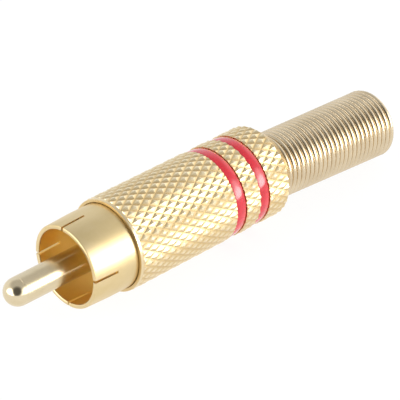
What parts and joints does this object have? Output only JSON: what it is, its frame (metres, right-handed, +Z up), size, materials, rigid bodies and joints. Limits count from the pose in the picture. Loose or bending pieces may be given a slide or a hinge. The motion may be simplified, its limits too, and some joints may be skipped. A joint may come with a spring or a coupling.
{
  "type": "rca plug",
  "caption": "Cable-mount phono plug with a slotted contact shell, a domed centre pin, a knurled screw-on barrel with red bands and a bend-relief spring.",
  "frame": {"origin": "on the surface the plug lies on, under the middle of its length", "axes": "+X along the plug's axis from the pin's tip towards the cable end, +Z up"},
  "size_m": [0.0562, 0.0108, 0.0109],
  "materials": {
    "gold_shell": "thin gold plating, polished",
    "gold_barrel": "thin gold plating on a rolled knurl",
    "gold_wire": "pale gold plating on spring wire",
    "gold_lug": "thin gold plating, stamped",
    "nickel_pin": "nickel plating, polished",
    "insulator": "white moulded plastic",
    "sleeve": "milky plastic tube",
    "red_enamel": "glossy red enamel"
  },
  "bodies": {
    "plug": {"contact_shell": "gold_shell", "threaded_body": "gold_shell", "centre_pin": "nickel_pin", "insulator_front": "insulator", "insulator_rear": "insulator", "ground_lug": "gold_lug", "insulating_sleeve": "sleeve"},
    "spring": {"strain_relief_spring": "gold_wire"},
    "barrel": {"barrel": "gold_barrel", "red_band_front": "red_enamel", "red_band_rear": "red_enamel"}
  },
  "joints": [
    {"name": "cover_travel", "type": "slide", "parent": "plug", "child": "spring", "axis": [1, 0, 0], "range_m": [0, 0.00451]},
    {"name": "barrel_turn", "type": "hinge", "parent": "spring", "child": "barrel", "pos_m": [0, 0, 0.00544], "axis": [1, 0, 0], "range_deg": [0, 2160]}
  ],
  "couplings": [
    {"joint": "cover_travel", "follows": "barrel_turn", "m_per_rad": 0.00011937}
  ]
}
